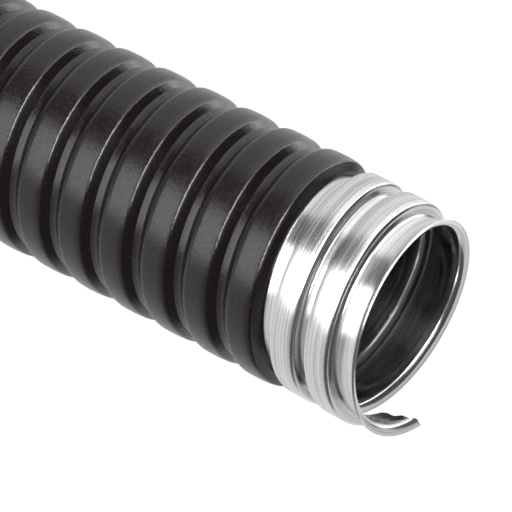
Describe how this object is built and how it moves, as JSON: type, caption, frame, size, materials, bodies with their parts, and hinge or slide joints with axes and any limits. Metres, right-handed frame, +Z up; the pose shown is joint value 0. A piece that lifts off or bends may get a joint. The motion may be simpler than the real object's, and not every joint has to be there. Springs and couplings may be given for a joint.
{
  "type": "flexible metal conduit",
  "caption": "Straight length of flexible electrical conduit: a wound, interlocked galvanised steel strip under a black corrugated jacket, stripped back at one end.",
  "frame": {"origin": "centre of the square-cut end, on the axis of the bore", "axes": "+Z up, along the conduit from the square end, on which it stands, to the bare end"},
  "size_m": [0.0332, 0.0332, 0.3048],
  "materials": {
    "galvanised_steel": "bright galvanised strip with fine rolling lines",
    "black_pvc": "semi-gloss extruded jacket"
  },
  "bodies": {
    "root": {"steel_strip": "galvanised_steel", "pvc_jacket": "black_pvc"}
  },
  "joints": []
}
